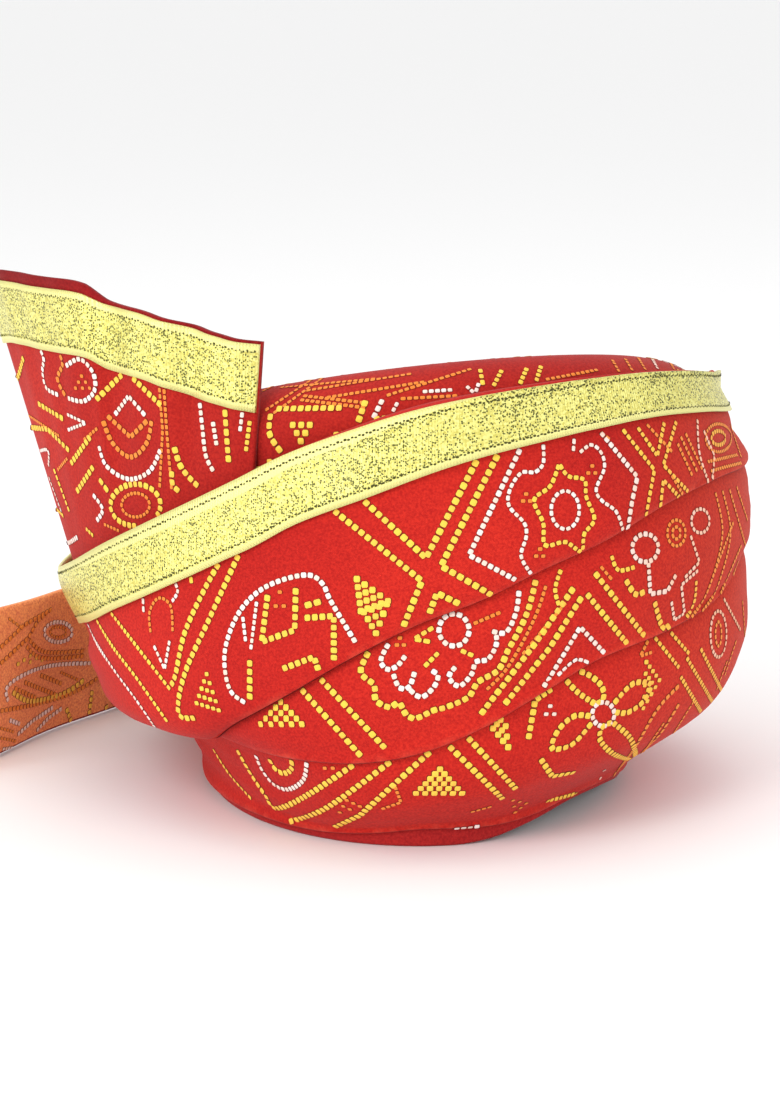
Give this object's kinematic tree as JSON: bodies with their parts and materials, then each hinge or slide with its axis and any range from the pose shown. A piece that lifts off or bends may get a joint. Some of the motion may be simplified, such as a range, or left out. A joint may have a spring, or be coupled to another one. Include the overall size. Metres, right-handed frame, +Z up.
{
  "type": "tied turban",
  "caption": "Pre-tied festive turban of printed red cotton, wound over a hollow crown, with gold lace on the top wrap, a pleated side fan and a free tail.",
  "frame": {"origin": "middle of the underside of the whole turban's box, on the surface that it rests on; the middle of the head opening is at X 26.9 mm, Y -9.8 mm", "axes": "+Z up, the front of the turban faces -Y, +X is the wearer's left, the fan and the tail are towards -X"},
  "size_m": [0.3192, 0.2792, 0.2064],
  "materials": {
    "printed_cotton": "matt",
    "plain_cotton": "matt",
    "gold_lace": "metallic thread"
  },
  "bodies": {
    "root": {"rim_band": "plain_cotton", "crown": "printed_cotton", "lower_wrap": "printed_cotton", "middle_wrap": "printed_cotton", "upper_wrap": "printed_cotton", "wrap_lace": "gold_lace", "fan": "printed_cotton", "fan_lace": "gold_lace", "tail": "printed_cotton"}
  },
  "joints": []
}
